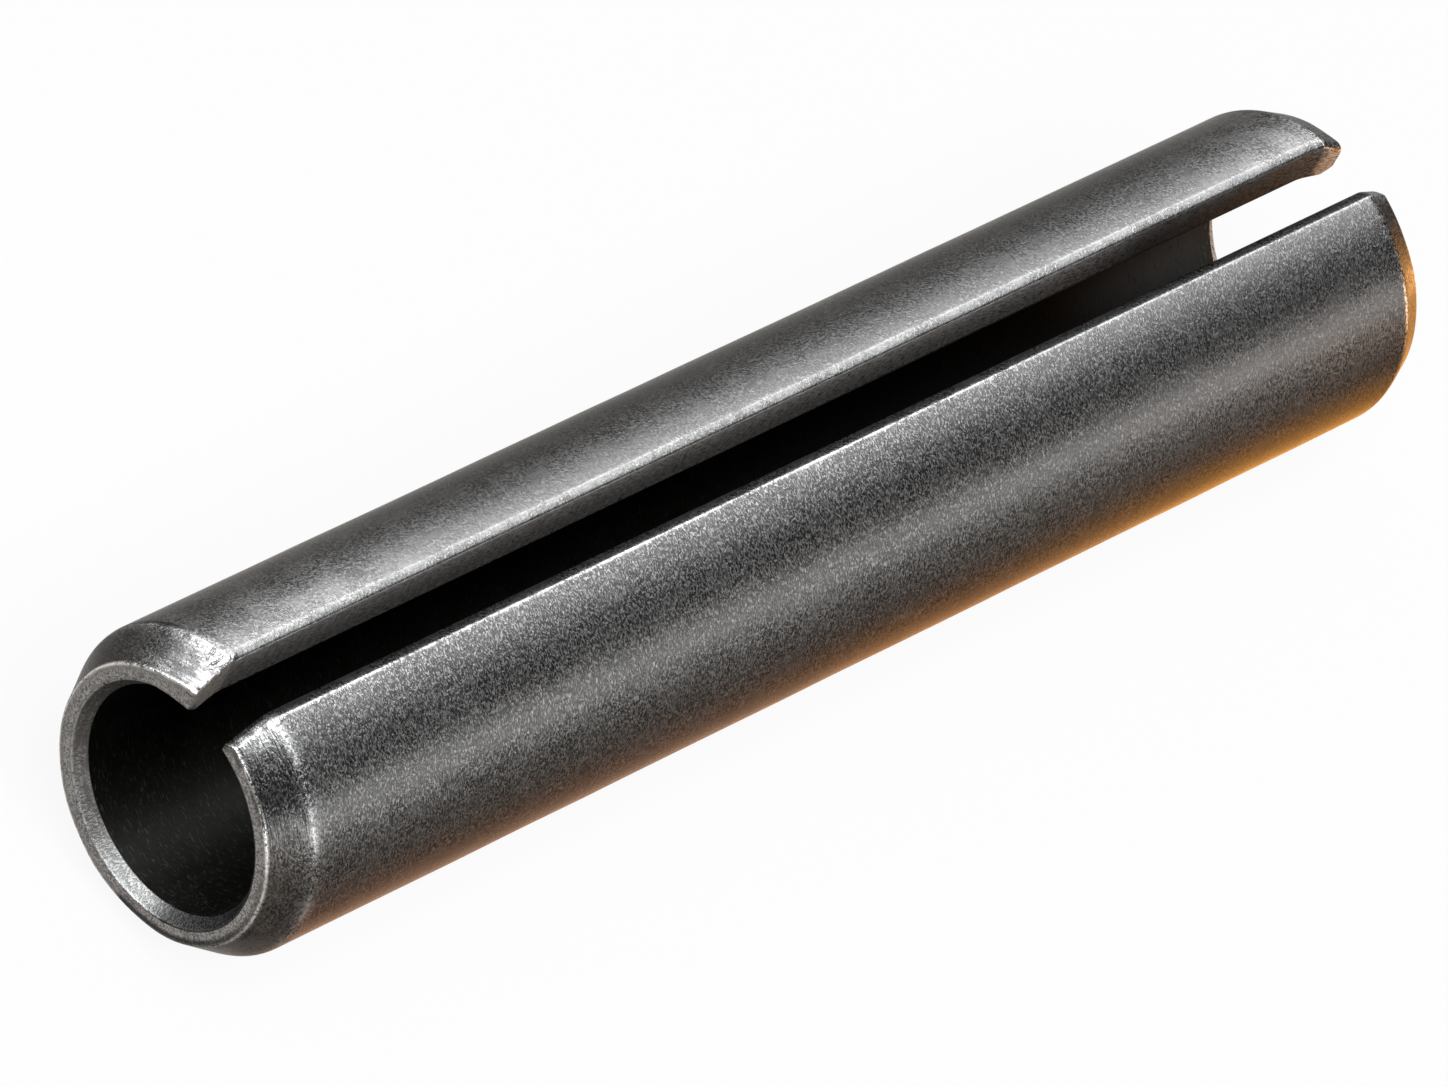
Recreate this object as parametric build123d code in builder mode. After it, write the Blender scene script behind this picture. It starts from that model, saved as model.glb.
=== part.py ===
from build123d import *
import math
import os

# Slotted spring pin, size 10 by 50, drawn free, as it is before it is driven.
# It is one strip of spring steel rolled into a tube that doesn't close. The pin
# lies along X with its slot upward, the way its weight turns it on a bench, and
# the origin is under its middle, on the surface that it lies on. All in mm.

# The rolled tube
free_diameter = 10.65
pin_length = 50.0
wall = 1.62
slot_width = 1.95

# The lead end goes into the hole first: a long taper to a narrow end face
lead_taper_length = 1.3
lead_taper_drop = 0.81

# The tail end takes the hammer: a shorter and shallower taper
tail_taper_length = 0.9
tail_taper_drop = 0.42

# The countersunk mouth at each end of the bore
mouth_depth = 0.44
mouth_widening = 0.29

# Roundings left by rolling and tumbling
shoulder_radius = 0.6
slot_outer_edge_radius = 0.3
slot_inner_edge_radius = 0.08
rim_radius = 0.05

# What follows from those sizes
outer_radius = free_diameter / 2
bore_radius = outer_radius - wall
mouth_radius = bore_radius + mouth_widening
lead_face_radius = outer_radius - lead_taper_drop
tail_face_radius = outer_radius - tail_taper_drop
half_length = pin_length / 2
axis_height = outer_radius

# The narrowest wall that carries the roundings is the ring of the lead end face
narrowest_ring = lead_face_radius - mouth_radius
slot_edge_rounding = min(slot_outer_edge_radius, narrowest_ring * 0.6)
slot_inner_rounding = min(slot_inner_edge_radius, narrowest_ring * 0.2)
rim_rounding = min(rim_radius, narrowest_ring * 0.15)

pin_axis = Axis((0, 0, axis_height), (1, 0, 0))
along_plane = Plane(origin=(0, 0, axis_height), x_dir=(1, 0, 0), z_dir=(0, -1, 0))
lead_end_plane = Plane(origin=(-half_length, 0, axis_height), x_dir=(0, 1, 0), z_dir=(1, 0, 0))


def off_axis(edge):
    """How far the middle of an edge lies from the pin's axis."""
    middle = edge @ 0.5
    return math.hypot(middle.Y, middle.Z - axis_height)


with BuildPart() as spring_pin:
    # Half of the wall's section along the pin, turned about the pin's axis
    with BuildSketch(along_plane) as wall_section:
        with BuildLine():
            Polyline(
                (-half_length, mouth_radius),
                (-half_length, lead_face_radius),
                (-half_length + lead_taper_length, outer_radius),
                (half_length - tail_taper_length, outer_radius),
                (half_length, tail_face_radius),
                (half_length, mouth_radius),
                (half_length - mouth_depth, bore_radius),
                (-half_length + mouth_depth, bore_radius),
                close=True,
            )
        make_face()
        # The tapers blend into the barrel over soft shoulders
        shoulders = wall_section.vertices().group_by(Axis.Y)[-1]
        fillet(shoulders, radius=shoulder_radius)
    revolve(axis=pin_axis)

    # The slot opens the top of the tube from end to end, with parallel walls
    with BuildSketch(lead_end_plane):
        Rectangle(slot_width, outer_radius + 1, align=(Align.CENTER, Align.MIN))
    extrude(amount=pin_length, mode=Mode.SUBTRACT)

    # The strip's edges were rounded before rolling. Outside, the rounding follows
    # the slot over both shoulders and down both tapers to the end faces
    slot_walls = spring_pin.faces().filter_by(Axis.Y)
    lengthwise_edges = slot_walls.edges() - slot_walls.edges().filter_by(Axis.Z)
    outer_edges = lengthwise_edges.filter_by(lambda edge: off_axis(edge) > mouth_radius)
    fillet(outer_edges, radius=slot_edge_rounding)

    # Inside, a finer one runs along the bore from mouth to mouth
    bore_edges = spring_pin.edges().filter_by(Axis.X).group_by(off_axis)[0]
    fillet(bore_edges, radius=slot_inner_rounding)

    # Tumbling takes the sharpness off every edge of the two end faces
    fillet(spring_pin.faces().filter_by(Axis.X).edges(), radius=rim_rounding)

spring_pin.part.label = "spring_pin"

os.makedirs("parts", exist_ok=True)
export_step(spring_pin.part, "parts/spring_pin.step")
print("spring_pin", len(spring_pin.solids()), "solid", round(spring_pin.part.volume, 1), "mm3")
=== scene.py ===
import math

import bmesh
import bpy
import numpy as np
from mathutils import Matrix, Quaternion, Vector, noise


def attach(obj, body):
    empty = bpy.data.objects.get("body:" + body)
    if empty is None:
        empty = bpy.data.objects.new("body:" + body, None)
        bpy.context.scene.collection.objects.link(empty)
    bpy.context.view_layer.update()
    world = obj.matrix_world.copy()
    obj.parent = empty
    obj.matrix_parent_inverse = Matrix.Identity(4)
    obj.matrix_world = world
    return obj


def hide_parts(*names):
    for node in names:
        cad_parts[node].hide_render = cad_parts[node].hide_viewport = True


# A slotted spring pin of dark spring steel, lying on a pale floor with its slot upward.
# Lengths in the dictionaries are millimetres, and the scene itself is in metres.

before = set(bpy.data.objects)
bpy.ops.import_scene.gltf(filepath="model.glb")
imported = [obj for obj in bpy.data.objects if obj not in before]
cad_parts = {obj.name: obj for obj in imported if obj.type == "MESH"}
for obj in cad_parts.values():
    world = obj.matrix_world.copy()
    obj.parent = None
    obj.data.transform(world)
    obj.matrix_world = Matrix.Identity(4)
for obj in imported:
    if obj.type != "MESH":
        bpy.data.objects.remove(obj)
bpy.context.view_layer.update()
millimetre = 0.001

# The end toward the camera is the lead end. The slot has a back wall, away from the camera,
# and a front wall; a gap is a distance along the pin from an end's face
pinShape = {
    "radius": 5.325,            # outside, free
    "halfLength": 25.0,
    "bore": 3.705,
    "mouth": 3.995,             # the bore's countersunk mouths, at the end faces
    "mouthDepth": 0.44,
    "slotHalves": (0.975, 0.90),    # from the middle to the back wall and to the front wall
    "leadTaper": (1.3, 0.81),   # length along the pin, and how far it drops
    "tailTaper": (0.9, 0.42),
    "shoulder": 0.6,            # soft corners between the tapers and the barrel
    # the slot's outer edges: reach across and down, and how full the curve between is
    "backEdge": (0.33, 0.19, 0.15),
    "frontEdge": (0.43, 0.41, 0.10),
    "lipEdge": (0.09, 0.09, 0.60),     # the back edge's at the lead end's face
    "lipEdgeFrom": (1.9, 0.9),         # gaps at which it starts and is full
    "tailEdge": (0.30, 0.36, 0.70),    # and the same at the tail end's face
    "tailEdgeFrom": (1.2, 0.3),
    "edgeOfWall": 0.6,          # the most of the wall's thickness that an edge reaches down
    "innerRounding": 0.06,
    "rim": 0.06,                # worn edges of the end faces
    "arcPoints": 100,           # from the pin's underside to the slot, on each side
    "arcCrowding": 1.35,        # above 1, the points crowd towards the slot
    "roundingSteps": 12,
    "wallSteps": 10,
    "innerSteps": 4,
    "rimSteps": 5,
    "leadStations": (0.06, 2.2, 62),   # first and last gap, and how many
    "tailStations": (0.06, 1.8, 42),
    "barrelStations": 44,
}
satin, cut, scale = range(3)    # the finishes on the barrel, the cut steel and inside the bore


def smooth(value, none, full):
    # softly from 0 where the value is none to 1 where it is full, upward or downward
    share = np.clip((value - none) / (full - none), 0, 1)
    return share * share * (3 - 2 * share)


def bump(value, middle, width):
    return np.exp(-((value - middle) / width) ** 2)


# The pin's outline from one end face inward: gaps from the face, and radii there
def taperRadius(gap, taper):
    length, drop = taper
    slope = math.atan2(drop, length)
    reach = pinShape["shoulder"] * math.tan(slope / 2)
    coneEnd = length - reach * math.cos(slope)
    arcEnd = length + reach
    radius = pinShape["radius"]
    cone = radius - drop + gap * drop / length
    sideways = np.clip(arcEnd - gap, 0, pinShape["shoulder"])
    arc = radius - pinShape["shoulder"] + np.sqrt(pinShape["shoulder"] ** 2 - sideways ** 2)
    return np.where(gap < coneEnd, cone, np.where(gap < arcEnd, arc, radius))


def boreRadius(gap):
    share = np.clip(gap / pinShape["mouthDepth"], 0, 1)
    return pinShape["mouth"] + (pinShape["bore"] - pinShape["mouth"]) * share


def roundedRim(cornerRadius, slope, side):
    # the quarter round between an end face and the cone beside it; side is 1 outside, -1 in the mouth
    rim = pinShape["rim"]
    turns = np.linspace(math.pi, math.pi / 2 + slope, pinShape["rimSteps"])
    middle = cornerRadius + side * (rim * math.tan(slope) - rim / math.cos(slope))
    return rim + rim * np.cos(turns), middle + side * rim * np.sin(turns)


def endOutline(taper, stations):
    length, drop = taper
    mouthSlope = math.atan2(pinShape["mouth"] - pinShape["bore"], pinShape["mouthDepth"])
    outerGap, outerRim = roundedRim(pinShape["radius"] - drop, math.atan2(drop, length), 1)
    innerGap, innerRim = roundedRim(pinShape["mouth"], mouthSlope, -1)
    gaps = np.linspace(*stations)
    return {
        "outside": (np.concatenate([outerGap, gaps]), np.concatenate([outerRim, taperRadius(gaps, taper)])),
        "bore": (np.concatenate([innerGap, gaps]), np.concatenate([innerRim, boreRadius(gaps)])),
    }


def wholeOutline():
    # places along the pin and radii there, of the outside and then of the bore
    lead = endOutline(pinShape["leadTaper"], pinShape["leadStations"])
    tail = endOutline(pinShape["tailTaper"], pinShape["tailStations"])
    half = pinShape["halfLength"]
    first = -half + pinShape["leadStations"][1]
    last = half - pinShape["tailStations"][1]
    between = np.linspace(first, last, pinShape["barrelStations"] + 2)[1:-1]
    outline = []
    for face, radius in (("outside", pinShape["radius"]), ("bore", pinShape["bore"])):
        leadGap, leadRadius = lead[face]
        tailGap, tailRadius = tail[face]
        level = np.full(len(between), radius)
        outline.append(np.concatenate([leadGap - half, between, half - tailGap[::-1]]))
        outline.append(np.concatenate([leadRadius, level, tailRadius[::-1]]))
    return outline


def slotInset(x):
    # the slot walls give way to the end faces over a small round
    rim = pinShape["rim"]
    share = 1 - min(pinShape["halfLength"] - abs(x), rim) / rim
    return rim * (1 - math.sqrt(1 - share ** 2))


def edgeCurve(start, corner, end, fullness):
    # a conic from the outer surface round the corner to the slot wall
    t = np.linspace(0, 1, pinShape["roundingSteps"] + 1)[:, None]
    weights = (1 - t) ** 2, 2 * fullness * t * (1 - t), t ** 2
    return (weights[0] * start + weights[1] * corner + weights[2] * end) / sum(weights)


def arcTo(radius, turn):
    # from the pin's underside up to a turn from straight up, where the slot is
    share = 1 - (1 - np.arange(pinShape["arcPoints"]) / pinShape["arcPoints"]) ** pinShape["arcCrowding"]
    turns = math.pi + (turn - math.pi) * share
    return np.stack([radius * np.sin(turns), radius * np.cos(turns)], 1)


def halfSection(outer, inner, half, edge):
    # one lobe's section, y to the side and z up from the axis: the outer arc, the slot wall
    # with its two edges, and the inner arc
    across, down, fullness = edge
    down = min(down, pinShape["edgeOfWall"] * (outer - inner))
    small = pinShape["innerRounding"]
    outerTurn = math.asin((half + across) / outer)
    start = np.array([half + across, outer * math.cos(outerTurn)])
    corner = np.array([half, start[1] + across * math.tan(outerTurn)])
    end = corner - (0, down)
    innerTop = math.sqrt((inner + small) ** 2 - (half + small) ** 2)
    innerTurn = math.atan2(half + small, innerTop)
    smallTurns = np.linspace(-math.pi / 2, innerTurn - math.pi, pinShape["innerSteps"] + 1)
    wallZ = np.linspace(end[1], innerTop, pinShape["wallSteps"] + 1)[1:-1]
    wallPart = np.column_stack([np.full(len(wallZ), half), wallZ])
    smallY = half + small + small * np.sin(smallTurns)
    smallPart = np.column_stack([smallY, innerTop + small * np.cos(smallTurns)])
    chain = np.concatenate([edgeCurve(start, corner, end, fullness), wallPart, smallPart])
    return arcTo(outer, outerTurn), chain, arcTo(inner, innerTurn)


def backEdge(x):
    # the back lobe's edge is sharper at the lead end's face and rounder at the tail end's
    middle, lip, tail = (np.array(pinShape[name]) for name in ("backEdge", "lipEdge", "tailEdge"))
    nearLip = smooth(x + pinShape["halfLength"], *pinShape["lipEdgeFrom"])
    nearTail = smooth(pinShape["halfLength"] - x, *pinShape["tailEdgeFrom"])
    return middle + nearLip * (lip - middle) + nearTail * (tail - middle)


def lobeLine(outerX, outerRadius, innerX, innerRadius, slotHalf, edge):
    # one lobe's points: along the outside to the slot, down its wall, and back inside the bore
    half = slotHalf + slotInset((outerX + innerX) / 2)
    outerArc, chain, innerArc = halfSection(outerRadius, innerRadius, half, edge)
    lengthwise = np.concatenate([
        np.full(len(outerArc), outerX),
        np.linspace(outerX, innerX, len(chain)),
        np.full(len(innerArc), innerX),
    ])
    return np.column_stack([lengthwise, np.concatenate([outerArc, chain, innerArc[::-1]])])


def stationLoop(outerX, outerRadius, innerX, innerRadius):
    # the closed line round the wall: the back lobe, and the front one mirrored
    edges = backEdge((outerX + innerX) / 2), pinShape["frontEdge"]
    back, front = (
        lobeLine(outerX, outerRadius, innerX, innerRadius, slotHalf, edge)
        for slotHalf, edge in zip(pinShape["slotHalves"], edges)
    )
    mirrored = front[::-1] * (1, -1, 1)
    return np.concatenate([back, mirrored[1:-1]])


def sideFaces(loopX, perLoop, chainLength):
    # the faces between neighbouring stations, each with its finish
    wallStart = pinShape["arcPoints"] + pinShape["roundingSteps"] - 1
    wallEnd = pinShape["arcPoints"] + chainLength - 1
    faces, finish = [], []
    for i in range(len(loopX) - 1):
        gap = pinShape["halfLength"] - abs(loopX[i] if loopX[i] < 0 else loopX[i + 1])
        inside = cut if gap < pinShape["mouthDepth"] else scale
        near, far = i * perLoop, (i + 1) * perLoop
        for p in range(perLoop):
            q = (p + 1) % perLoop
            faces.append((near + p, far + p, far + q, near + q))
            fromUnderside = min(p, perLoop - 1 - p)
            if fromUnderside < wallStart:
                finish.append(satin)
            elif fromUnderside < wallEnd:
                finish.append(cut)
            else:
                finish.append(inside)
    return faces, finish


def endFaces(points, base, perLoop, chainLength):
    # an end face: lines across the wall, with as many points as the slot wall has. They are
    # counted from the underside, upward on the back lobe and downward on the front one
    arc = pinShape["arcPoints"]
    lines = {arc: [base + arc + j for j in range(chainLength)]}
    lines[-arc] = [base + perLoop - arc - j for j in range(chainLength)]
    for k in (*range(arc), *range(-1, -arc, -1)):
        outer, inner = base + k % perLoop, base + perLoop // 2 - k
        start, end = np.array(points[outer]), np.array(points[inner])
        between = [start + (end - start) * share for share in np.linspace(0, 1, chainLength)[1:-1]]
        lines[k] = [outer, *range(len(points), len(points) + len(between)), inner]
        points.extend(tuple(point) for point in between)
    faces = []
    for side in (1, -1):
        for k in range(arc):
            near, far = lines[side * k], lines[side * (k + 1)]
            for j in range(chainLength - 1):
                faces.append((near[j], near[j + 1], far[j + 1], far[j]))
    return faces


def buildPin():
    outline = wholeOutline()
    loops = np.array([stationLoop(*station) for station in zip(*outline)])
    stationCount, perLoop = loops.shape[:2]
    chainLength = perLoop // 2 + 1 - 2 * pinShape["arcPoints"]
    print("pin:", stationCount, "stations of", perLoop, "points")
    points = [tuple(point) for point in loops.reshape(-1, 3)]
    faces, finish = sideFaces(outline[0], perLoop, chainLength)
    for station in (0, stationCount - 1):
        faces += endFaces(points, station * perLoop, perLoop, chainLength)
    finish += [cut] * (len(faces) - len(finish))
    return np.array(points), faces, finish


def outerAt(x):
    lead = taperRadius(x + pinShape["halfLength"], pinShape["leadTaper"])
    tail = taperRadius(pinShape["halfLength"] - x, pinShape["tailTaper"])
    return np.minimum(lead, tail)


# Small departures from the drawn shape, as an earlier use would leave them. Pairs give where
# a change is nothing and where it is full
damage = {
    # the back lip of the lead end stands up a little beside the slot
    "lipLift": 0.24,
    "lipGap": (1.4, 0.0),
    "lobeCorner": (2.3, 1.0),   # how far back from the slot's middle the lift and lean reach
    # and at both ends that lobe's corner leans into the slot: how far, and from which gap
    "leadLean": (0.25, 1.7),
    "tailLean": (0.22, 1.5),
    "waviness": 0.010,          # the rolled tube isn't perfectly round
    "waves": (0.35, 0.5, 0.5),  # per millimetre along, across and up
    # nicks along the back lip's edge, where the pin has been driven and knocked
    "nickDepth": 0.055,
    "nickGap": (2.1, 1.5),
    "nickAcross": (0.98, 0.22),     # middle and width
    "nickRadius": (4.2, 4.5),
    "nicks": (6.5, 5.0, 5.0),
    "fineNicks": 13,
    "fineShare": 0.6,
    "nickBias": 0.15,           # above 0, the edge loses more than it gains
    "nickSpread": 0.6,          # how much of a nick's depth goes sideways
    "leastNick": 0.05,
}


def weather(points):
    x, y, z = points.T
    gap = x + pinShape["halfLength"]
    radius = np.hypot(y, z)
    outside = smooth(radius, pinShape["mouth"], outerAt(x))
    lobeCorner = smooth(y, *damage["lobeCorner"]) * (y > 0) * (z > 0)
    lifted = points.copy()
    lifted[:, 2] += damage["lipLift"] * smooth(gap, *damage["lipGap"]) * lobeCorner * outside
    tailGap = 2 * pinShape["halfLength"] - gap
    for away, (lean, length) in ((gap, damage["leadLean"]), (tailGap, damage["tailLean"])):
        lifted[:, 1] -= lean * smooth(away, length, 0) * lobeCorner
    wave = np.array([noise.noise(Vector(point * damage["waves"])) for point in points])
    lifted *= (1 + damage["waviness"] * wave * outside / pinShape["radius"])[:, None]
    bruised = smooth(gap, *damage["nickGap"]) * bump(y, *damage["nickAcross"])
    bruised = bruised * (z > 0) * smooth(radius, *damage["nickRadius"])
    for k in np.nonzero(bruised > damage["leastNick"])[0]:
        fine = noise.noise(Vector(points[k] * damage["fineNicks"]))
        rough = noise.noise(Vector(points[k] * damage["nicks"])) + damage["fineShare"] * fine
        depth = damage["nickDepth"] * bruised[k]
        lifted[k, 2] -= depth * (rough + damage["nickBias"])
        lifted[k, 1] += damage["nickSpread"] * depth * rough
    return lifted


# Where the parts of the surface end that the patches of wear, painted highlight and painted shade lie on
surface = {
    "outsideDepth": (0.30, 0.12),   # depths at which the outside is gone and is still full
    "wallReach": 1.0,           # the slot walls lie within this distance of the middle
    "edgeReach": 1.31,          # and the back wall with its rounded edge within this one
    "mouthReach": (4.05, 0.47),     # radius, and gap from the lead end's face
    "boreReach": 3.75,
    # the flat strip along the slot's front edge: its far side, and how much narrower it is
    # near the end faces; it starts to narrow further in at the lead end
    "facetEnd": 1.24,
    "facetTaper": 0.20,
    "facetFrom": (1.5, 0.9),
    "facetTailShift": 0.4,
}
# Where the steel is worn, rubbed, scored, cracked or brown with scale, and where highlights
# and shade are painted into its colour. Each mark has named groups of patches: a group's
# patches add up, and the strongest group counts. A patch is its strength, the parts that it
# lies on, and its limits there: pairs of values at which it is nothing and full, or "around",
# a middle and a width. A number after them is the most that it may reach there
shoulderBand = ("around", 0.93, 0.06)
frontLine = ("around", 1.33, 0.05)
lipTurn = (-41, -14, -9, -12)
wearAndPaintedLight = {
    # painted highlight: these lighter shoulders, lines beside the slot, the strip on the back edge, the
    # tail tip and the patches on the back lobe and tail taper stand in for highlights; the end and mouth
    # rims are rubbed steel with painted highlight on them
    "wearAndHighlight": {
        "leadShoulder": [
            (0.28, "outside", {"leadGap": ("around", 1.30, 0.30)}),
            (0.15, "outside", {"leadGap": ("around", 1.30, 0.30), "fromSlot": (52, 28)}),
            (0.42, "outside", {"leadGap": ("around", 1.27, 0.08)}),
        ],
        "tailShoulder": [
            (0.12, "outside", {"tailGap": shoulderBand}),
            (0.80, "outside", {"tailGap": shoulderBand, "turn": (26, 42)}),
            (0.80, "outside backHalf", {"tailGap": shoulderBand, "turn": (-40, -24)}),
        ],
        "endRims": [(1.2, "", {"faceEdge": ("around", 0, 0.05), "endGap": ("around", 0, 0.06)})],
        "mouthRims": [(1.0, "", {"mouthEdge": ("around", 0, 0.045), "endGap": ("around", 0, 0.04)})],
        "slotLines": [
            (0.15, "outside back", {"toBack": ("around", 1.30, 0.06)}),
            (0.26, "outside front", {"toFront": frontLine}),
            (0.34, "outside front", {"toFront": frontLine, "tailGap": (14, 30)}),
            (-0.10, "outside front", {"toFront": frontLine, "leadGap": (8, 2)}),
        ],
        "backStrip": [(0.15, "back", {"toBack": (1.28, 1.16), "depth": (0.16, 0.12)})],
        "tailTip": [(0.6, "wall back", {"tailGap": (0.9, 0.6)})],
        "backLobe": [
            (0.16, "outside back", {"leadGap": (1.4, 2.0, 15, 4)}),
            (0.16, "outside back", {"tailGap": (8, 1)}),
        ],
        "tailTaper": [
            (0.5, "outside front", {"tailGap": (0.85, 0.70), "turn": (19, 14)}),
            (0.3, "outside", {"tailGap": (0.85, 0.70), "turn": (40, 46, 56, 49)}),
        ],
    },
    # painted highlight, partly on rubbed steel: the end and mouth rims are rubbed steel with a painted
    # highlight, the line on the tail shoulder is painted highlight only
    "bright": {
        "leadRim": [(1.0, "leadFace", {"faceEdge": ("around", 0, 0.05), "endGap": ("around", 0, 0.06)})],
        "mouthRims": [(0.8, "", {"mouthEdge": ("around", 0, 0.045), "endGap": ("around", 0, 0.04)})],
        "tailShoulder": [(0.45, "outside", {"tailGap": ("around", 0.93, 0.05), "turn": (38, 48, 66, 56)})],
    },
    "cracked": {
        "lip": [(1.0, "outside", {"turn": (-27, -17, -9, -12), "leadGap": ("around", 1.05, 0.38)})],
    },
    # painted highlight on polished steel: the bright patches on the lead taper, its lip and the mouth's
    # foot stand in for highlights
    "polishAndHighlight": {
        "backTaper": [
            (0.55, "outside", {"turn": lipTurn, "leadGap": (1.75, 1.35)}),
            (0.25, "outside", {"turn": lipTurn, "leadGap": (1.75, 1.35, 0.7, 1.2)}),
        ],
        "lip": [(0.6, "outside", {"turn": (-52, -22, -9, -12), "leadGap": (0.6, 0.3)})],
        "frontTaper": [
            (2.1, "outside", {"turn": (8, 10, 27, 9), "leadGap": (1.4, 1.1)}, 1.0),
            (0.14, "outside", {"turn": (42, 52, 74, 58), "leadGap": (1.3, 0.9)}),
        ],
        "mouthFoot": [(0.4, "mouth", {"toFloor": (3.2, 3.7), "toFront": (1.8, 0.6)})],
    },
    "brown": {
        "wall": [(0.8, "wall", {"tailGap": (8, 14)})],
        "leadTaper": [(0.8, "outside", {"turn": (45, 75), "leadGap": (1.5, 1.1)})],
        "mouth": [(0.95, "mouth", {"toBack": (0.5, 2.0)})],
    },
    "pale": {
        "wallTip": [(1.0, "wall back", {"leadGap": (1.65, 1.45), "radius": (3.65, 3.85)})],
        "wall": [(0.1, "wall back", {})],
    },
    # painted shade: darker bands, lines and patches on the tapers, the barrel, the slot facet, the mouth,
    # the slot wall and the far bore stand in for shade and dark reflections
    "paintedShade": {
        "stripe": [(1.0, "outside", {"turn": ("around", 39, 6), "leadGap": (1.25, 0.9)})],
        "slotFacet": [(0.95, "front", {"pastFacet": (0.06, 0), "depth": (0.45, 0.40)})],
        "farShoulder": [(1.3, "outside backHalf", {"turn": (-27, -36), "leadGap": ("around", 1.42, 0.08)})],
        "lowTaper": [
            (0.45, "outside", {"turn": (62, 78), "leadGap": (1.25, 0.9)}),
            (0.40, "outside", {"turn": (85, 105), "leadGap": (1.25, 0.9)}),
            (0.30, "outside", {"turn": (106, 122), "leadGap": (1.25, 0.9)}),
        ],
        "mouth": [
            (0.85, "mouth", {}),
            (0.55, "mouth", {"toFront": (0.8, 2)}),
            (-0.05, "mouth", {"toFloor": (3.2, 3.7), "toFront": (1.8, 0.6)}),
        ],
        "tailWall": [(1.1, "wall", {"tailGap": (0.6, 1.0, 13, 8)})],
        "tailBarrel": [(0.35, "outside", {"turn": (46, 56, 86, 74), "tailGap": (5, 1)})],
        "tailTaper": [
            (0.90, "outside", {"turn": (-22, -34, -60, -52), "tailGap": (0.85, 0.70)}),
            (0.45, "outside", {"turn": (17, 22, 44, 38), "tailGap": (0.85, 0.70)}),
            (0.55, "outside", {"turn": (50, 62), "tailGap": (0.85, 0.70)}),
        ],
        "farBore": [(1.4, "bore", {"tailGap": (24, 16, 0.8, 1.6)})],
    },
    # where the grain is fainter
    "calm": {
        "backLobe": [(0.5, "outside backHalf", {})],
        "frontLobe": [(0.3, "outside frontHalf", {"tailGap": (25, 7)})],
    },
    "scored": {
        "leadTaper": [
            (1.0, "outside", {"turn": (8, 20), "leadGap": (1.4, 1.0)}),
            (-0.6, "outside", {"turn": (8, 20, 50, 65), "leadGap": (1.4, 1.0)}),
        ],
    },
}


def measured(points):
    # what limits the patches; turns are degrees from the slot, forward on the front lobe
    x, y, z = points.T
    half = pinShape["halfLength"]
    radius = np.hypot(y, z)
    leadGap, tailGap = x + half, half - x
    turn = np.degrees(np.arctan2(-y, z))
    faceRadius = outerAt(np.where(leadGap < tailGap, -half, half))
    facetGap = np.minimum(leadGap, tailGap + surface["facetTailShift"])
    facetEnd = surface["facetEnd"] - surface["facetTaper"] * smooth(facetGap, *surface["facetFrom"])
    return {
        "toBack": y, "toFront": -y, "toFloor": -z,
        "radius": radius, "depth": outerAt(x) - radius,
        "leadGap": leadGap, "tailGap": tailGap, "endGap": np.minimum(leadGap, tailGap),
        "turn": turn, "fromSlot": np.abs(turn),
        "faceEdge": radius - faceRadius, "mouthEdge": radius - pinShape["mouth"],
        "pastFacet": -y - facetEnd,
    }


def surfaceParts(seen):
    y, radius, leadGap = seen["toBack"], seen["radius"], seen["leadGap"]
    upper = seen["toFloor"] < 0
    mouthRadius, mouthGap = surface["mouthReach"]
    return {
        "outside": smooth(seen["depth"], *surface["outsideDepth"]),
        "back": (y > 0) * upper, "front": (y < 0) * upper,
        "backHalf": y > 0, "frontHalf": y <= 0,
        "wall": (np.abs(y) < surface["wallReach"]) * upper,
        "backWall": (y > 0) * (y < surface["edgeReach"]) * upper,
        "mouth": (radius < mouthRadius) * (leadGap < mouthGap),
        "bore": radius < surface["boreReach"],
        "leadFace": leadGap < seen["tailGap"],
    }


def patchShare(seen, parts, strength, on, limits, most=math.inf):
    share = strength
    for name, limit in limits.items():
        if limit[0] == "around":
            share = share * bump(seen[name], *limit[1:])
        else:
            for none, full in zip(limit[::2], limit[1::2]):
                share = share * smooth(seen[name], none, full)
    share = np.minimum(share, most)
    for part in on.split():
        share = share * parts[part]
    return share


def wearAndLightMarks(points):
    # how far each kind of mark applies at each point
    seen = measured(points)
    parts = surfaceParts(seen)
    marks = {}
    for mark, groups in wearAndPaintedLight.items():
        marks[mark] = np.maximum.reduce([
            sum(patchShare(seen, parts, *patch) for patch in patches) for patches in groups.values()
        ])
    # how deep a point of the back lobe's slot wall lies, for the fine lines along it
    marks["edge"] = parts["backWall"] * np.maximum(seen["depth"], 0)
    return marks


def toMesh(name, points, faces, finish):
    mesh = bpy.data.meshes.new(name)
    lifted = weather(points) * millimetre + np.array([0, 0, pinShape["radius"] * millimetre])
    mesh.from_pydata(lifted.tolist(), [], faces)
    mesh.polygons.foreach_set("material_index", finish)
    for mark, share in wearAndLightMarks(points).items():
        mesh.attributes.new(mark, "FLOAT", "POINT").data.foreach_set("value", share.astype(np.float32))
    shell = bmesh.new()
    shell.from_mesh(mesh)
    bmesh.ops.recalc_face_normals(shell, faces=shell.faces)
    shell.to_mesh(mesh)
    shell.free()
    mesh.polygons.foreach_set("use_smooth", [True] * len(mesh.polygons))
    piece = bpy.data.objects.new(name, mesh)
    bpy.context.scene.collection.objects.link(piece)
    return piece


pinPoints, pinFaces, pinFinish = buildPin()
pin = toMesh("springPin", pinPoints, pinFaces, pinFinish)
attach(pin, "root")
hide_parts("spring_pin")
print("pin mesh:", len(pinPoints), "points,", len(pinFaces), "faces")


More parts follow.
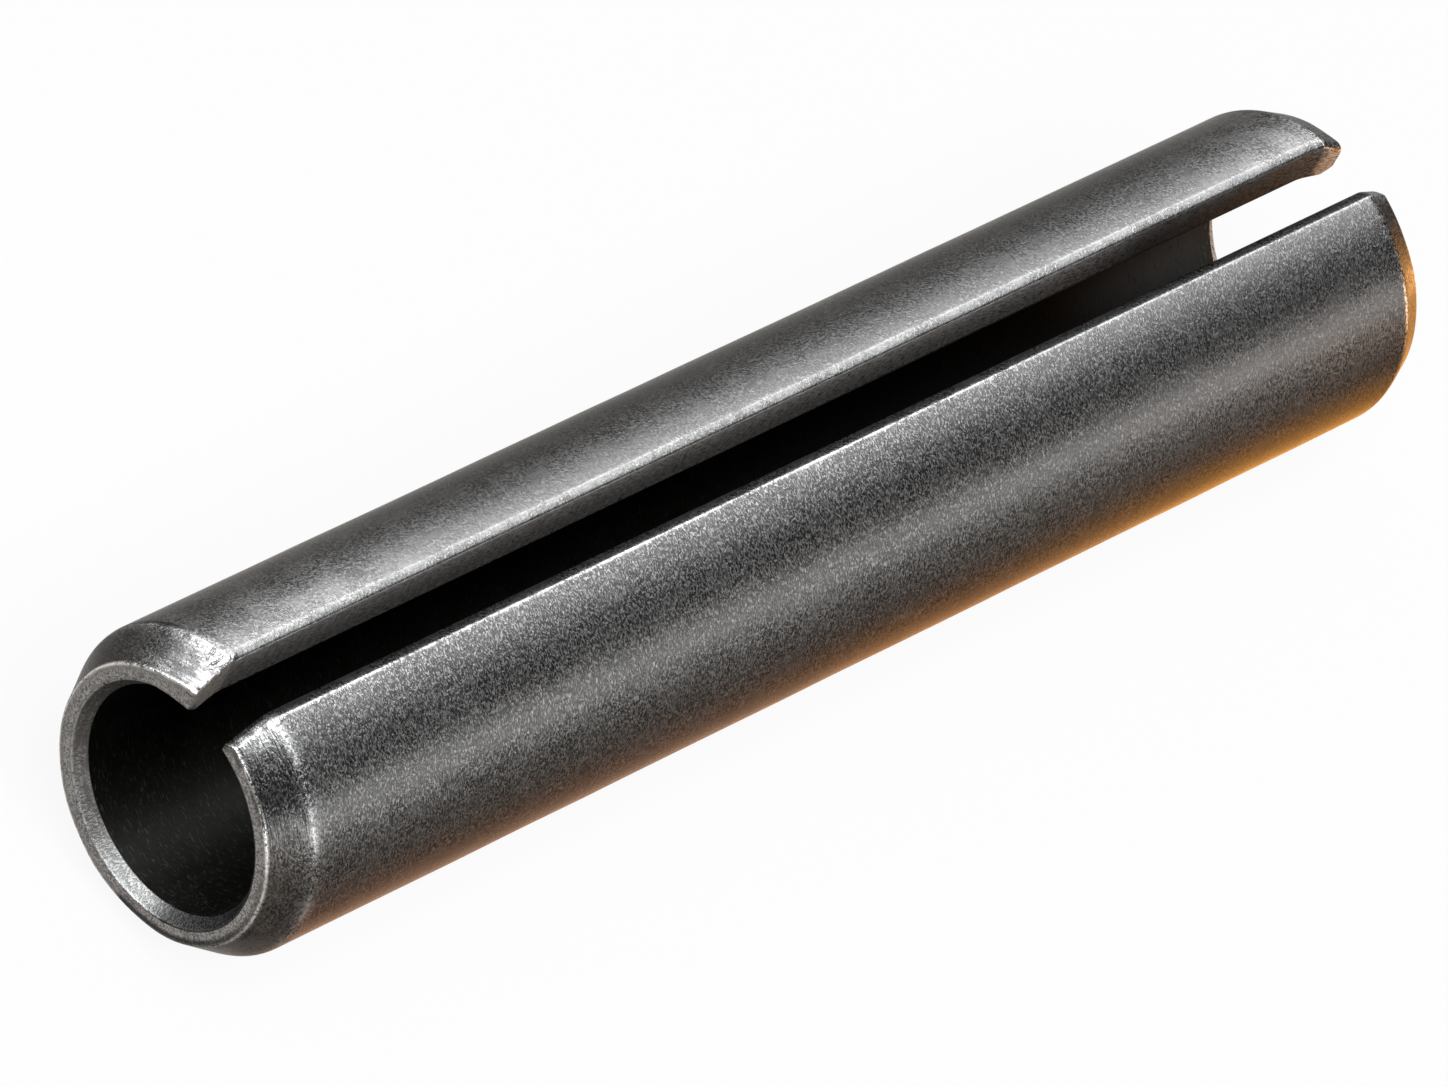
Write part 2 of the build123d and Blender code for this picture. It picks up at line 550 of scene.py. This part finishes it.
class Wire:
    # a socket in a material; sums written with wires become Math nodes
    def __init__(self, tree, socket=None):
        self.tree = tree
        self.socket = socket

    def node(self, kind, settings=None, values=None, output=0):
        made = self.tree.nodes.new(kind)
        for name, value in (settings or {}).items():
            setattr(made, name, value)
        for name, value in (values or {}).items():
            if isinstance(value, Wire):
                self.tree.links.new(value.socket, made.inputs[name])
            else:
                made.inputs[name].default_value = value
        return Wire(self.tree, made.outputs[output]) if made.outputs else None

    def maths(self, operation, other, swapped=False):
        values = {0: other, 1: self} if swapped else {0: self, 1: other}
        return self.node("ShaderNodeMath", {"operation": operation}, values)

    def __add__(self, other):
        return self.maths("ADD", other)

    __radd__ = __add__

    def __sub__(self, other):
        return self.maths("SUBTRACT", other)

    def __rsub__(self, other):
        return self.maths("SUBTRACT", other, True)

    def __mul__(self, other):
        return self.maths("MULTIPLY", other)

    __rmul__ = __mul__

    def orMore(self, other):
        return self.maths("MAXIMUM", other)

    def step(self, low, high):
        # smoothly from 0 at low to 1 at high
        return self.node(
            "ShaderNodeMapRange",
            {"interpolation_type": "SMOOTHSTEP"},
            {"Value": self, "From Min": low, "From Max": high},
        )

    def band(self, low, high, soft):
        return self.step(low - soft, low + soft) - self.step(high - soft, high + soft)

    def stretched(self, *perUnit):
        return self.node("ShaderNodeVectorMath", {"operation": "MULTIPLY"}, {0: self, 1: perUnit})

    def texture(self, along, around, detail, roughness, swirl=0.0):
        # noise that repeats this often along the pin and around it
        return self.node("ShaderNodeTexNoise", None, {
            "Vector": self.stretched(along, around, around),
            "Scale": 1.0,
            "Detail": detail,
            "Roughness": roughness,
            "Distortion": swirl,
        })

    def blend(self, first, second):
        # a colour between two others, at this wire's share
        values = {0: self, 6: first, 7: second}
        return self.node("ShaderNodeMix", {"data_type": "RGBA"}, values, 2)

    def mark(self, name):
        return self.node("ShaderNodeAttribute", {"attribute_name": name}, output="Fac")


def newMaterial(name):
    material = bpy.data.materials.new(name)
    material.use_nodes = True
    material.node_tree.nodes.clear()
    return material, Wire(material.node_tree)


# Colours are linear; grain and mottle sizes are in millimetres
barrelFinish = {
    "dark": (0.0155, 0.0150, 0.0145, 1),
    "light": (0.1170, 0.1135, 0.1100, 1),
    "grazing": 0.5,             # how bright the steel gets at its outline
    "grain": (0.050, 0.105),    # along the pin and around it
    "swirl": 0.8,               # how far the grain's strokes curl
    "mottle": 1.1,
    "roughness": 0.30,
    "relief": 0.0050,
    "contrast": (0.43, 0.69),
    "grainShare": 0.90,
    "clouds": 0.14,
}
cutFinish = {
    "dark": (0.112, 0.110, 0.107, 1),
    "light": (0.335, 0.329, 0.320, 1),
    "grazing": 0.15,
    "grain": (0.22, 0.07),
    "swirl": 0.0,
    "mottle": 0.5,
    "roughness": 0.50,
    "relief": 0.0070,
    "contrast": (0.40, 0.60),
    "grainShare": 0.80,
    "clouds": 0.55,
}
boreFinish = {
    "dark": (0.006, 0.006, 0.005, 1),
    "light": (0.034, 0.033, 0.031, 1),
    "grazing": 0.5,
    "grain": (0.06, 0.28),
    "swirl": 0.6,
    "mottle": 0.9,
    "roughness": 0.55,
    "relief": 0.0060,
    "contrast": (0.58, 0.72),
    "grainShare": 0.80,
    "clouds": 0.20,
}
# What the three finishes share, for their textures, marks, gloss and relief
steel = {
    "grainNoise": (2.0, 0.55),      # detail and roughness
    "mottleNoise": (3.0, 0.55),
    # how often these repeat per millimetre along the pin and around it, with the same two
    # and how far they curl
    "speckle": (1 / 0.13, 1 / 0.13, 2.0, 0.60),
    "pits": (4.2, 4.2, 3.0, 0.60),
    "drags": (5.5, 1.6, 2.5, 0.60, 0.6),
    "scoring": (1 / 0.055, 1 / 1.2, 1.0, 0.50),     # long fine scratches round the lead taper
    "cracks": (1.3, 2.6, 3.0, 0.65, 0.8),
    # the values between which they, and what is patchy, come up
    "speckleRise": (0.38, 0.62),
    "pitRise": (0.60, 0.70),
    "dragRise": (0.46, 0.55),
    "streakRise": (0.36, 0.60),
    "scoreRise": (0.50, 0.60),
    "crackBand": (0.485, 0.515, 0.012),
    "brownRise": (0.35, 0.60),
    "wearAndHighlightRise": (0.30, 0.75),
    "brightRise": (0.20, 0.60),
    "speckleTone": 0.06,
    "leastTone": 0.06,
    "calmTone": 0.34,           # the tone that the grain fades to where the steel is calm
    # a painted highlight line (the crest) and a painted dark line along the slot's back wall, and lighter
    # specks at its foot: depths from and to and how soft, and strength
    "crestLine": (0.170, 0.215, 0.012),
    "crestStrength": 0.5,
    "shadeLine": (0.125, 0.155, 0.010),
    "wallFoot": (1.30, 1.45),
    "wallFootStrength": 0.35,
    # how patchy the marks are: shares of the mottle and of the flecks
    "wearAndHighlightMix": (0.8, 0.4),
    "brightMix": (0.6, 0.5),
    "paleMix": (0.7, 0.3),      # what is there everywhere, and what the flecks add
    "polishAndHighlightMix": (0.15, 0.50, 0.40),    # there everywhere, in the streaks and in the flecks
    "dragLoss": 0.85,           # how much of the polish and painted highlight pits and drags take away
    # the colour of the painted highlights and of the rubbed rims
    "wearAndHighlightColour": (0.26, 0.256, 0.25, 1),
    "rimColour": (0.70, 0.69, 0.67, 1),     # rubbed steel with a painted highlight round the lead end's face
    "polishAndHighlightColour": (0.26, 0.256, 0.25, 1),
    "brownColour": (0.135, 0.110, 0.090, 1),
    "brownMetal": 0.75,         # brown scale is less metallic than the steel
    "paleColour": (0.225, 0.207, 0.184, 1),
    "paleMetal": 0.10,
    "darkColour": (0.010, 0.010, 0.010, 1),
    "scoreShare": 0.6,          # how far scores, painted shade and cracks go dark
    "paintedShadeShare": 0.65,
    "crackShare": 0.85,
    # what changes the roughness: mottle and grain, and the polished and worn steel with its painted
    # highlights
    "roughMottle": 0.12,
    "roughGrain": 0.06,
    "polishAndHighlightGloss": 0.08,
    "wearAndHighlightGloss": 0.05,
    # heights and depths, as shares of the finish's relief
    "grainHeight": 1.0,
    "speckleHeight": 0.2,
    "scoreDepth": 1.2,
    "pitDepth": 1.5,
    "crackDepth": 3.0,
}


def steelColour(wire, place, finish):
    # the plain steel of one finish, with its grain, speckles and cloudy patches
    along, around = finish["grain"]
    strokes = place.texture(1 / along, 1 / around, *steel["grainNoise"], finish["swirl"])
    grain = strokes.step(*finish["contrast"])
    speckle = place.texture(*steel["speckle"]).step(*steel["speckleRise"])
    mottle = place.texture(*[1 / finish["mottle"]] * 2, *steel["mottleNoise"])
    tone = grain * finish["grainShare"] + speckle * steel["speckleTone"]
    tone = tone + (mottle - 0.5) * finish["clouds"] + steel["leastTone"]
    tone = tone - (tone - steel["calmTone"]) * wire.mark("calm")
    return tone.blend(finish["dark"], finish["light"]), grain, speckle, mottle


def makeSteel(name, finish):
    material, wire = newMaterial(name)
    place = wire.node("ShaderNodeTexCoord", output="Object").stretched(*[1 / millimetre] * 3)
    colour, grain, speckle, mottle = steelColour(wire, place, finish)
    flecks = speckle * 0.5 + grain * 0.5
    scoring = place.texture(*steel["scoring"])

    # scale: brown, and pale on the slot's wall
    brown = wire.mark("brown") * (mottle * 0.5 + scoring * 0.5).step(*steel["brownRise"])
    colour = brown.blend(colour, flecks.blend(finish["dark"], steel["brownColour"]))
    even, flecked = steel["paleMix"]
    pale = wire.mark("pale") * (flecks * flecked + even)
    colour = pale.blend(colour, flecks.blend(steel["brownColour"], steel["paleColour"]))

    # wear and painted highlight: lighter lines and patches at the slot, the shoulders and the tapers are
    # painted highlight, the rims are rubbed steel with painted highlight on them, and the polished parts of
    # the lead taper carry painted highlight too
    edge = wire.mark("edge")
    wallFoot = edge.step(*steel["wallFoot"]) * speckle * steel["wallFootStrength"]
    # a painted highlight line along the back wall's edge, with lighter specks at the wall's foot
    crest = edge.band(*steel["crestLine"]) * steel["crestStrength"] + wallFoot
    patchy, flecked = steel["wearAndHighlightMix"]
    # painted highlight, with rubbed steel at the rims
    wearAndHighlight = (wire.mark("wearAndHighlight") + crest) * (mottle * patchy + flecks * flecked).step(*steel["wearAndHighlightRise"])
    colour = wearAndHighlight.blend(colour, steel["wearAndHighlightColour"])
    patchy, flecked = steel["brightMix"]
    # painted highlight at the rims and the tail shoulder
    bright = wire.mark("bright") * (mottle * patchy + flecks * flecked).step(*steel["brightRise"])
    colour = bright.blend(colour, steel["rimColour"])
    pits = place.texture(*steel["pits"]).step(*steel["pitRise"])
    drags = place.texture(*steel["drags"]).step(*steel["dragRise"])
    clear = 1 - pits.orMore(drags) * steel["dragLoss"]
    even, streaked, flecked = steel["polishAndHighlightMix"]
    streaks = scoring.step(*steel["streakRise"]) * streaked
    # polish with painted highlight
    polishAndHighlight = wire.mark("polishAndHighlight") * clear * (even + streaks + flecks * flecked)
    colour = polishAndHighlight.blend(colour, steel["polishAndHighlightColour"])

    # dark: scores, painted shade and cracks
    scored = wire.mark("scored") * scoring.step(*steel["scoreRise"])
    cracked = wire.mark("cracked") * place.texture(*steel["cracks"]).band(*steel["crackBand"])
    # the painted dark line along the back wall joins the painted shade
    paintedShade = wire.mark("paintedShade").orMore(edge.band(*steel["shadeLine"]))
    dark = (scored * steel["scoreShare"]).orMore(paintedShade * steel["paintedShadeShare"])
    undarkened = 1 - dark.orMore(cracked * steel["crackShare"])
    colour = undarkened.blend(steel["darkColour"], colour)

    rough = finish["roughness"] + (mottle - 0.5) * steel["roughMottle"]
    rough = rough + (grain - 0.5) * steel["roughGrain"]
    rough = rough - polishAndHighlight * steel["polishAndHighlightGloss"] - wearAndHighlight * steel["wearAndHighlightGloss"]
    height = grain * steel["grainHeight"] + speckle * steel["speckleHeight"] - scored * steel["scoreDepth"]
    height = height - pits * wire.mark("polishAndHighlight") * steel["pitDepth"] - cracked * steel["crackDepth"]
    relief = wire.node(
        "ShaderNodeBump",
        None,
        {"Height": height, "Distance": finish["relief"] * millimetre, "Strength": 1.0},
    )
    nonMetal = (brown * (1 - steel["brownMetal"])).orMore(pale * (1 - steel["paleMetal"]))
    shader = wire.node("ShaderNodeBsdfPrincipled", None, {
        "Base Color": colour,
        "Metallic": 1 - nonMetal,
        "Roughness": rough,
        "Normal": relief,
        "Specular Tint": (*[finish["grazing"]] * 3, 1),
    })
    wire.node("ShaderNodeOutputMaterial", None, {"Surface": shader})
    return material


for name, finish in (("satinSteel", barrelFinish), ("cutSteel", cutFinish), ("boreSteel", boreFinish)):
    pin.data.materials.append(makeSteel(name, finish))
print("steel ready")


studio = {
    "world": 0.27,
    "worldColour": (0.96, 0.98, 1.0, 1),
    "floorInSteel": (1.0, 0.95, 0.90, 1),   # the white floor as the steel shows it
    "floorColour": (0.90, 0.90, 0.90, 1),
    "floorWhite": 0.92,      # share of the floor's white that no shadow reaches
    "floorSize": 8.0,        # metres
}
coolWhite = (0.94, 0.97, 1.0)
paleWhite = (0.96, 0.98, 1.0)
# Strip lights run along the pin and show only in the steel. Each has its turn about the pin's
# axis, from straight up towards the camera, its distance, where along the pin it starts and
# ends, its width across, its brightness and its tint; metres and degrees
strips = {
    "overhead": (-23.7, 0.60, (0.20, 0.78), 0.66, 10.9, coolWhite),
    "overheadWide": (-22.5, 0.62, (-0.45, 0.88), 1.26, 5.6, coolWhite),
    "overheadWider": (-21.5, 0.66, (-0.45, 0.88), 2.00, 2.4, coolWhite),
    "overLead": (-23.7, 0.60, (-0.44, -0.04), 0.80, 7.6, coolWhite),
    "side": (76.5, 0.60, (0.20, 0.70), 0.21, 9.1, paleWhite),
    "sideLead": (72.0, 0.60, (-0.35, -0.06), 0.20, 10.4, paleWhite),
    "fill": (76.0, 0.60, (-0.06, 0.19), 0.24, 9.0, paleWhite),
}
# The key is a plain soft light for everything but the mirror of the steel
keyLight = {
    "turn": 25.0,
    "distance": 0.80,
    "along": -0.25,
    "size": 0.60,
    "brightness": 5.9,
}


def makeLamp(name, turn, distance, along, size, brightness, tint=(1, 1, 1)):
    light = bpy.data.lights.new(name, "AREA")
    light.color = tint
    light.shape = "RECTANGLE"
    light.size, light.size_y = size
    light.energy = brightness * math.pi * size[0] * size[1]     # the same glow at any size
    lamp = bpy.data.objects.new(name, light)
    angle = math.radians(turn)
    lamp.location = (along, -distance * math.sin(angle), distance * math.cos(angle))
    lamp.rotation_euler = (angle, 0, 0)
    lamp.visible_camera = False
    bpy.context.scene.collection.objects.link(lamp)
    return lamp


for name, (turn, distance, (start, end), width, brightness, tint) in strips.items():
    strip = makeLamp(name, turn, distance, (start + end) / 2, (end - start, width), brightness, tint)
    strip.visible_diffuse = False
key = makeLamp(
    "key", keyLight["turn"], keyLight["distance"], keyLight["along"],
    (keyLight["size"], keyLight["size"]), keyLight["brightness"],
)
key.visible_glossy = False


# Warm cards lie on the floor and show only in the steel: corners from and to, in
# millimetres, colour and brightness. A soft card fades at its outer edge and at its start,
# over that many millimetres, and later bands change its colour from there along the pin
warmCards = {
    "warmSide": {
        "corners": ((-24, -12), (36, -2.5)),
        "glow": ((1.0, 0.58, 0.37), 1.9),
        "soft": 4.0,
        "bands": ((2, (1.0, 0.48, 0.20), 2.6), (16, (1.0, 0.44, 0.11), 3.9)),
    },
    "warmTip": {"corners": ((31.5, -4.5), (36, -1.5)), "glow": ((1.0, 0.46, 0.14), 4.5)},
    "warmNext": {"corners": ((36, -14), (43, -2)), "glow": ((1.0, 0.47, 0.14), 7.0)},
    "warmEnd": {"corners": ((43, -20), (85, -2)), "glow": ((1.0, 0.46, 0.12), 17.5)},
}
bandReach = 6.0     # how far before and after its place a band's colour comes in
cardLift = 0.3      # how far the first card lies above the floor
cardGap = 0.02      # and each next one above the last


def makeSheet(name, start, end, lift, material):
    (x0, y0), (x1, y1) = start, end
    mesh = bpy.data.meshes.new(name)
    mesh.from_pydata([(x0, y0, lift), (x1, y0, lift), (x1, y1, lift), (x0, y1, lift)], [], [(0, 1, 2, 3)])
    mesh.materials.append(material)
    sheet = bpy.data.objects.new(name, mesh)
    bpy.context.scene.collection.objects.link(sheet)
    return sheet


def glowColour(colour, brightness):
    return (*(channel * brightness for channel in colour), 1)


def makeCard(name, facts, lift):
    start, end = ([millimetre * value for value in corner] for corner in facts["corners"])
    material, wire = newMaterial(name)
    place = wire.node("ShaderNodeTexCoord", output="Object")
    along, across = (
        wire.node("ShaderNodeSeparateXYZ", None, {"Vector": place}, output=axis) for axis in "XY"
    )
    colour = glowColour(*facts["glow"])
    for middle, *band in facts.get("bands", ()):
        share = along.step((middle - bandReach) * millimetre, (middle + bandReach) * millimetre)
        colour = share.blend(colour, glowColour(*band))
    if "soft" in facts:
        soft = facts["soft"] * millimetre
        inside = across.step(start[1], start[1] + soft) * along.step(start[0], start[0] + soft)
        colour = inside.blend(studio["floorInSteel"], colour)
    glow = wire.node("ShaderNodeEmission", None, {"Color": colour, "Strength": 1.0})
    wire.node("ShaderNodeOutputMaterial", None, {"Surface": glow})
    card = makeSheet(name, start, end, lift, material)
    card.visible_camera = False
    card.visible_diffuse = False
    card.visible_shadow = False


for number, (name, facts) in enumerate(warmCards.items()):
    makeCard(name, facts, (cardLift + cardGap * number) * millimetre)


def makeWorld():
    world = bpy.data.worlds.new("paleRoom")
    world.use_nodes = True
    world.node_tree.nodes.clear()
    wire = Wire(world.node_tree)
    values = {"Color": studio["worldColour"], "Strength": studio["world"]}
    wire.node("ShaderNodeOutputWorld", None, {"Surface": wire.node("ShaderNodeBackground", None, values)})
    bpy.context.scene.world = world


def makeFloor():
    # white where the camera or the steel looks at it, but for the pin's shadow
    material, wire = newMaterial("paleFloor")
    rays = [
        wire.node("ShaderNodeLightPath", output=f"Is {ray} Ray")
        for ray in ("Camera", "Glossy", "Transmission")
    ]
    seen = sum(rays).maths("MINIMUM", 1.0)
    whiteColour = rays[0].blend(studio["floorInSteel"], (1, 1, 1, 1))
    matt = wire.node("ShaderNodeBsdfDiffuse", None, {"Color": studio["floorColour"]})
    white = wire.node("ShaderNodeEmission", None, {"Color": whiteColour, "Strength": 1.0})
    mixed = wire.node("ShaderNodeMixShader", None, {0: seen * studio["floorWhite"], 1: matt, 2: white})
    wire.node("ShaderNodeOutputMaterial", None, {"Surface": mixed})
    half = studio["floorSize"] / 2
    floor = makeSheet("floor", (-half, -half), (half, half), 0, material)


makeWorld()
makeFloor()

photoCamera = {
    "place": (-270.45, -136.12, 314.90),
    "lookAt": (-0.857, 0.099, 4.624),
    "turn": 29.18,        # degrees about the line of sight
    "lens": 348.56,
    "sensorWidth": 36,
    "sees": (0.01, 20),   # metres
}


def makeCamera():
    lens = bpy.data.cameras.new("photoCamera")
    lens.sensor_width = photoCamera["sensorWidth"]
    lens.lens = photoCamera["lens"]
    lens.clip_start, lens.clip_end = photoCamera["sees"]
    camera = bpy.data.objects.new("photoCamera", lens)
    place = Vector(photoCamera["place"]) * millimetre
    sight = Vector(photoCamera["lookAt"]) * millimetre - place
    camera.location = place
    camera.rotation_mode = "QUATERNION"
    turn = Quaternion((0, 0, 1), math.radians(photoCamera["turn"]))
    camera.rotation_quaternion = sight.to_track_quat("-Z", "Y") @ turn
    bpy.context.scene.collection.objects.link(camera)
    bpy.context.scene.camera = camera


makeCamera()
bpy.context.scene.view_settings.view_transform = "Standard"
print("studio ready")
